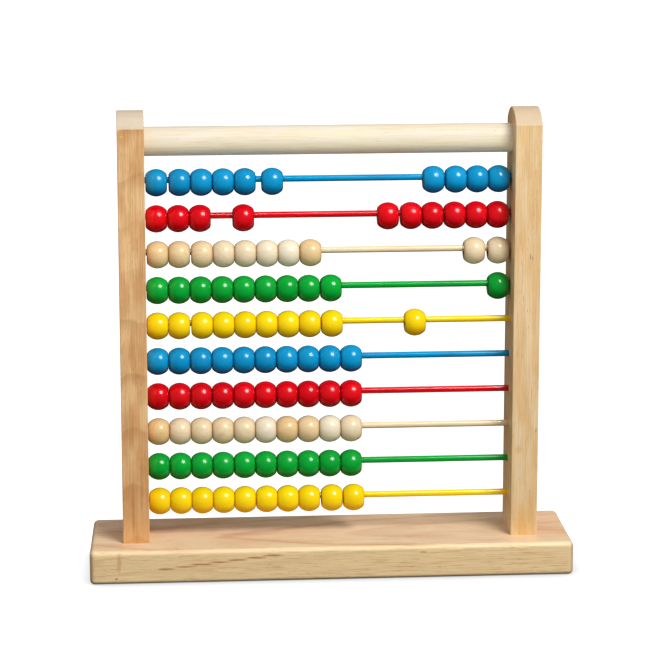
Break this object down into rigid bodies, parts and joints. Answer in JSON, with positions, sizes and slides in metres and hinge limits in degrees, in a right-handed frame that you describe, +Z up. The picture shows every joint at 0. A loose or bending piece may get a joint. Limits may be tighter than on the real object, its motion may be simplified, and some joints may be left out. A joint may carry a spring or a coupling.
{
  "type": "abacus counting frame",
  "caption": "Free-standing wooden counting frame with painted beads that slide along horizontal rods between two uprights on a base board.",
  "frame": {"origin": "middle of the base board's underside, on the table", "axes": "+Z up, +X along the rods from the left upright to the right one as seen from the front, +Y towards the back"},
  "size_m": [0.3059, 0.0766, 0.2942],
  "materials": {
    "base_wood": "satin lacquered pale hardwood, straight grain along X",
    "upright_wood": "satin lacquered pale hardwood, grain upwards",
    "dowel_wood": "smooth pale cream hardwood",
    "screw_steel": "zinc-plated steel",
    "bead_blue": "gloss blue paint on turned wood",
    "bead_red": "gloss red paint on turned wood",
    "bead_natural": "clear gloss lacquer on turned wood",
    "bead_green": "gloss green paint on turned wood",
    "bead_yellow": "gloss yellow paint on turned wood",
    "rod_blue": "gloss blue paint",
    "rod_red": "gloss red paint",
    "rod_natural": "gloss cream lacquer",
    "rod_green": "gloss green paint",
    "rod_yellow": "gloss yellow paint"
  },
  "bodies": {
    "frame": {"base_board": "base_wood", "left_upright": "upright_wood", "right_upright": "upright_wood", "top_dowel": "dowel_wood", "upright_screws": "screw_steel", "row_01_blue_rod": "rod_blue", "row_02_red_rod": "rod_red", "row_03_natural_rod": "rod_natural", "row_04_green_rod": "rod_green", "row_05_yellow_rod": "rod_yellow", "row_06_blue_rod": "rod_blue", "row_07_red_rod": "rod_red", "row_08_natural_rod": "rod_natural", "row_09_green_rod": "rod_green", "row_10_yellow_rod": "rod_yellow"},
    "row_01_bead_1": {"row_01_blue_bead_1": "bead_blue"},
    "row_01_beads_2_to_5": {"row_01_blue_beads_2_to_5": "bead_blue"},
    "row_01_bead_6": {"row_01_blue_bead_6": "bead_blue"},
    "row_01_beads_8_to_10": {"row_01_blue_beads_8_to_10": "bead_blue"},
    "row_01_bead_7": {"row_01_blue_bead_7": "bead_blue"},
    "row_02_beads_1_to_3": {"row_02_red_beads_1_to_3": "bead_red"},
    "row_02_bead_4": {"row_02_red_bead_4": "bead_red"},
    "row_02_beads_8_to_10": {"row_02_red_beads_8_to_10": "bead_red"},
    "row_02_beads_6_to_7": {"row_02_red_beads_6_to_7": "bead_red"},
    "row_02_bead_5": {"row_02_red_bead_5": "bead_red"},
    "row_03_beads_1_to_2": {"row_03_natural_beads_1_to_2": "bead_natural"},
    "row_03_beads_3_to_7": {"row_03_natural_beads_3_to_7": "bead_natural"},
    "row_03_bead_8": {"row_03_natural_bead_8": "bead_natural"},
    "row_03_bead_10": {"row_03_natural_bead_10": "bead_natural"},
    "row_03_bead_9": {"row_03_natural_bead_9": "bead_natural"},
    "row_04_beads_1_to_5": {"row_04_green_beads_1_to_5": "bead_green"},
    "row_04_beads_6_to_7": {"row_04_green_beads_6_to_7": "bead_green"},
    "row_04_bead_8": {"row_04_green_bead_8": "bead_green"},
    "row_04_bead_9": {"row_04_green_bead_9": "bead_green"},
    "row_04_bead_10": {"row_04_green_bead_10": "bead_green"},
    "row_05_beads_1_to_2": {"row_05_yellow_beads_1_to_2": "bead_yellow"},
    "row_05_beads_3_to_7": {"row_05_yellow_beads_3_to_7": "bead_yellow"},
    "row_05_bead_8": {"row_05_yellow_bead_8": "bead_yellow"},
    "row_05_bead_9": {"row_05_yellow_bead_9": "bead_yellow"},
    "row_05_bead_10": {"row_05_yellow_bead_10": "bead_yellow"},
    "row_06_beads_1_to_5": {"row_06_blue_beads_1_to_5": "bead_blue"},
    "row_06_beads_6_to_8": {"row_06_blue_beads_6_to_8": "bead_blue"},
    "row_06_bead_9": {"row_06_blue_bead_9": "bead_blue"},
    "row_06_bead_10": {"row_06_blue_bead_10": "bead_blue"},
    "row_07_beads_1_to_5": {"row_07_red_beads_1_to_5": "bead_red"},
    "row_07_beads_6_to_8": {"row_07_red_beads_6_to_8": "bead_red"},
    "row_07_bead_9": {"row_07_red_bead_9": "bead_red"},
    "row_07_bead_10": {"row_07_red_bead_10": "bead_red"},
    "row_08_beads_1_to_5": {"row_08_natural_beads_1_to_5": "bead_natural"},
    "row_08_beads_6_to_8": {"row_08_natural_beads_6_to_8": "bead_natural"},
    "row_08_bead_9": {"row_08_natural_bead_9": "bead_natural"},
    "row_08_bead_10": {"row_08_natural_bead_10": "bead_natural"},
    "row_09_beads_1_to_5": {"row_09_green_beads_1_to_5": "bead_green"},
    "row_09_beads_6_to_8": {"row_09_green_beads_6_to_8": "bead_green"},
    "row_09_bead_9": {"row_09_green_bead_9": "bead_green"},
    "row_09_bead_10": {"row_09_green_bead_10": "bead_green"},
    "row_10_beads_1_to_5": {"row_10_yellow_beads_1_to_5": "bead_yellow"},
    "row_10_beads_6_to_8": {"row_10_yellow_beads_6_to_8": "bead_yellow"},
    "row_10_bead_9": {"row_10_yellow_bead_9": "bead_yellow"},
    "row_10_bead_10": {"row_10_yellow_bead_10": "bead_yellow"}
  },
  "joints": [
    {"name": "slide_row_01_bead_1", "type": "slide", "parent": "frame", "child": "row_01_bead_1", "axis": [1, 0, 0], "range_m": [-0.0005, 0.0292]},
    {"name": "slide_row_01_beads_2_to_5", "type": "slide", "parent": "row_01_bead_1", "child": "row_01_beads_2_to_5", "axis": [1, 0, 0], "range_m": [-0.0008, 0.0292]},
    {"name": "slide_row_01_bead_6", "type": "slide", "parent": "row_01_beads_2_to_5", "child": "row_01_bead_6", "axis": [1, 0, 0], "range_m": [-0.0035, 0.0292]},
    {"name": "slide_row_01_beads_8_to_10", "type": "slide", "parent": "frame", "child": "row_01_beads_8_to_10", "axis": [1, 0, 0], "range_m": [-0.0438, 0.0011]},
    {"name": "slide_row_01_bead_7", "type": "slide", "parent": "row_01_beads_8_to_10", "child": "row_01_bead_7", "axis": [1, 0, 0], "range_m": [-0.0438, 0.0005]},
    {"name": "slide_row_02_beads_1_to_3", "type": "slide", "parent": "frame", "child": "row_02_beads_1_to_3", "axis": [1, 0, 0], "range_m": [-0.0003, 0.03865]},
    {"name": "slide_row_02_bead_4", "type": "slide", "parent": "row_02_beads_1_to_3", "child": "row_02_bead_4", "axis": [1, 0, 0], "range_m": [-0.0135, 0.03865]},
    {"name": "slide_row_02_beads_8_to_10", "type": "slide", "parent": "frame", "child": "row_02_beads_8_to_10", "axis": [1, 0, 0], "range_m": [-0.02577, 0.0016]},
    {"name": "slide_row_02_beads_6_to_7", "type": "slide", "parent": "row_02_beads_8_to_10", "child": "row_02_beads_6_to_7", "axis": [1, 0, 0], "range_m": [-0.02577, 0.0004]},
    {"name": "slide_row_02_bead_5", "type": "slide", "parent": "row_02_beads_6_to_7", "child": "row_02_bead_5", "axis": [1, 0, 0], "range_m": [-0.02577, 0.0009]},
    {"name": "slide_row_03_beads_1_to_2", "type": "slide", "parent": "frame", "child": "row_03_beads_1_to_2", "axis": [1, 0, 0], "range_m": [-0.0007, 0.02993]},
    {"name": "slide_row_03_beads_3_to_7", "type": "slide", "parent": "row_03_beads_1_to_2", "child": "row_03_beads_3_to_7", "axis": [1, 0, 0], "range_m": [-0.0006, 0.02993]},
    {"name": "slide_row_03_bead_8", "type": "slide", "parent": "row_03_beads_3_to_7", "child": "row_03_bead_8", "axis": [1, 0, 0], "range_m": [-0.0002, 0.02993]},
    {"name": "slide_row_03_bead_10", "type": "slide", "parent": "frame", "child": "row_03_bead_10", "axis": [1, 0, 0], "range_m": [-0.0449, 0.001]},
    {"name": "slide_row_03_bead_9", "type": "slide", "parent": "row_03_bead_10", "child": "row_03_bead_9", "axis": [1, 0, 0], "range_m": [-0.0449, 0.0017]},
    {"name": "slide_row_04_beads_1_to_5", "type": "slide", "parent": "frame", "child": "row_04_beads_1_to_5", "axis": [1, 0, 0], "range_m": [-0.0003, 0.02312]},
    {"name": "slide_row_04_beads_6_to_7", "type": "slide", "parent": "row_04_beads_1_to_5", "child": "row_04_beads_6_to_7", "axis": [1, 0, 0], "range_m": [-0.0001, 0.02312]},
    {"name": "slide_row_04_bead_8", "type": "slide", "parent": "row_04_beads_6_to_7", "child": "row_04_bead_8", "axis": [1, 0, 0], "range_m": [0, 0.02312]},
    {"name": "slide_row_04_bead_9", "type": "slide", "parent": "row_04_bead_8", "child": "row_04_bead_9", "axis": [1, 0, 0], "range_m": [-0.0003, 0.02312]},
    {"name": "slide_row_04_bead_10", "type": "slide", "parent": "frame", "child": "row_04_bead_10", "axis": [1, 0, 0], "range_m": [-0.0925, 0.0008]},
    {"name": "slide_row_05_beads_1_to_2", "type": "slide", "parent": "frame", "child": "row_05_beads_1_to_2", "axis": [1, 0, 0], "range_m": [-0.0002, 0.02315]},
    {"name": "slide_row_05_beads_3_to_7", "type": "slide", "parent": "row_05_beads_1_to_2", "child": "row_05_beads_3_to_7", "axis": [1, 0, 0], "range_m": [-0.0008, 0.02315]},
    {"name": "slide_row_05_bead_8", "type": "slide", "parent": "row_05_beads_3_to_7", "child": "row_05_bead_8", "axis": [1, 0, 0], "range_m": [0, 0.02315]},
    {"name": "slide_row_05_bead_9", "type": "slide", "parent": "row_05_bead_8", "child": "row_05_bead_9", "axis": [1, 0, 0], "range_m": [-0.0004, 0.02315]},
    {"name": "slide_row_05_bead_10", "type": "slide", "parent": "frame", "child": "row_05_bead_10", "axis": [1, 0, 0], "range_m": [-0.0391, 0.0535]},
    {"name": "slide_row_06_beads_1_to_5", "type": "slide", "parent": "frame", "child": "row_06_beads_1_to_5", "axis": [1, 0, 0], "range_m": [0, 0.0235]},
    {"name": "slide_row_06_beads_6_to_8", "type": "slide", "parent": "row_06_beads_1_to_5", "child": "row_06_beads_6_to_8", "axis": [1, 0, 0], "range_m": [0, 0.0235]},
    {"name": "slide_row_06_bead_9", "type": "slide", "parent": "row_06_beads_6_to_8", "child": "row_06_bead_9", "axis": [1, 0, 0], "range_m": [0, 0.0235]},
    {"name": "slide_row_06_bead_10", "type": "slide", "parent": "row_06_bead_9", "child": "row_06_bead_10", "axis": [1, 0, 0], "range_m": [0, 0.0235]},
    {"name": "slide_row_07_beads_1_to_5", "type": "slide", "parent": "frame", "child": "row_07_beads_1_to_5", "axis": [1, 0, 0], "range_m": [0, 0.0235]},
    {"name": "slide_row_07_beads_6_to_8", "type": "slide", "parent": "row_07_beads_1_to_5", "child": "row_07_beads_6_to_8", "axis": [1, 0, 0], "range_m": [0, 0.0235]},
    {"name": "slide_row_07_bead_9", "type": "slide", "parent": "row_07_beads_6_to_8", "child": "row_07_bead_9", "axis": [1, 0, 0], "range_m": [0, 0.0235]},
    {"name": "slide_row_07_bead_10", "type": "slide", "parent": "row_07_bead_9", "child": "row_07_bead_10", "axis": [1, 0, 0], "range_m": [0, 0.0235]},
    {"name": "slide_row_08_beads_1_to_5", "type": "slide", "parent": "frame", "child": "row_08_beads_1_to_5", "axis": [1, 0, 0], "range_m": [0, 0.0235]},
    {"name": "slide_row_08_beads_6_to_8", "type": "slide", "parent": "row_08_beads_1_to_5", "child": "row_08_beads_6_to_8", "axis": [1, 0, 0], "range_m": [0, 0.0235]},
    {"name": "slide_row_08_bead_9", "type": "slide", "parent": "row_08_beads_6_to_8", "child": "row_08_bead_9", "axis": [1, 0, 0], "range_m": [0, 0.0235]},
    {"name": "slide_row_08_bead_10", "type": "slide", "parent": "row_08_bead_9", "child": "row_08_bead_10", "axis": [1, 0, 0], "range_m": [0, 0.0235]},
    {"name": "slide_row_09_beads_1_to_5", "type": "slide", "parent": "frame", "child": "row_09_beads_1_to_5", "axis": [1, 0, 0], "range_m": [0, 0.0235]},
    {"name": "slide_row_09_beads_6_to_8", "type": "slide", "parent": "row_09_beads_1_to_5", "child": "row_09_beads_6_to_8", "axis": [1, 0, 0], "range_m": [0, 0.0235]},
    {"name": "slide_row_09_bead_9", "type": "slide", "parent": "row_09_beads_6_to_8", "child": "row_09_bead_9", "axis": [1, 0, 0], "range_m": [0, 0.0235]},
    {"name": "slide_row_09_bead_10", "type": "slide", "parent": "row_09_bead_9", "child": "row_09_bead_10", "axis": [1, 0, 0], "range_m": [0, 0.0235]},
    {"name": "slide_row_10_beads_1_to_5", "type": "slide", "parent": "frame", "child": "row_10_beads_1_to_5", "axis": [1, 0, 0], "range_m": [-0.0002, 0.02307]},
    {"name": "slide_row_10_beads_6_to_8", "type": "slide", "parent": "row_10_beads_1_to_5", "child": "row_10_beads_6_to_8", "axis": [1, 0, 0], "range_m": [-0.0002, 0.02307]},
    {"name": "slide_row_10_bead_9", "type": "slide", "parent": "row_10_beads_6_to_8", "child": "row_10_bead_9", "axis": [1, 0, 0], "range_m": [-0.0009, 0.02307]},
    {"name": "slide_row_10_bead_10", "type": "slide", "parent": "row_10_bead_9", "child": "row_10_bead_10", "axis": [1, 0, 0], "range_m": [-0.0004, 0.02307]}
  ]
}
